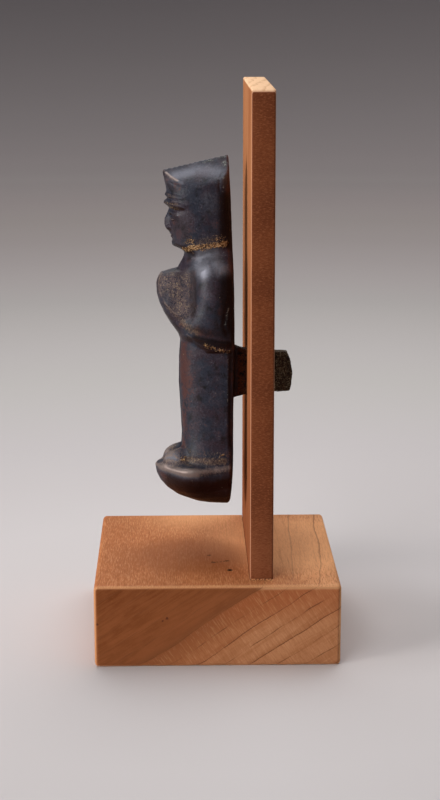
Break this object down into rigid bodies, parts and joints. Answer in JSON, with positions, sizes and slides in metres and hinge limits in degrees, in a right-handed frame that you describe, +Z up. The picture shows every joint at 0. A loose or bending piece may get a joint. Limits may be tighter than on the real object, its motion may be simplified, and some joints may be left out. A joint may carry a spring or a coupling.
{
  "type": "bronze votive figure on wooden stand",
  "caption": "Slim cast bronze standing figure in a ridged cap, hands hidden in joined sleeves, held by a back tang in a slotted upright board on a square wooden base.",
  "frame": {"origin": "centre of the square base's underside, on the surface it stands on", "axes": "+Z up along the board, the figure faces -Y, +X across the figure towards its left hand"},
  "size_m": [0.072, 0.072, 0.1664],
  "materials": {
    "bronze": "dark aged patina, satin",
    "board_wood": "fine sanded, oiled",
    "base_wood": "fine sanded, oiled"
  },
  "bodies": {
    "root": {"bronze_figure": "bronze", "stand_board": "board_wood", "stand_base": "base_wood"}
  },
  "joints": []
}
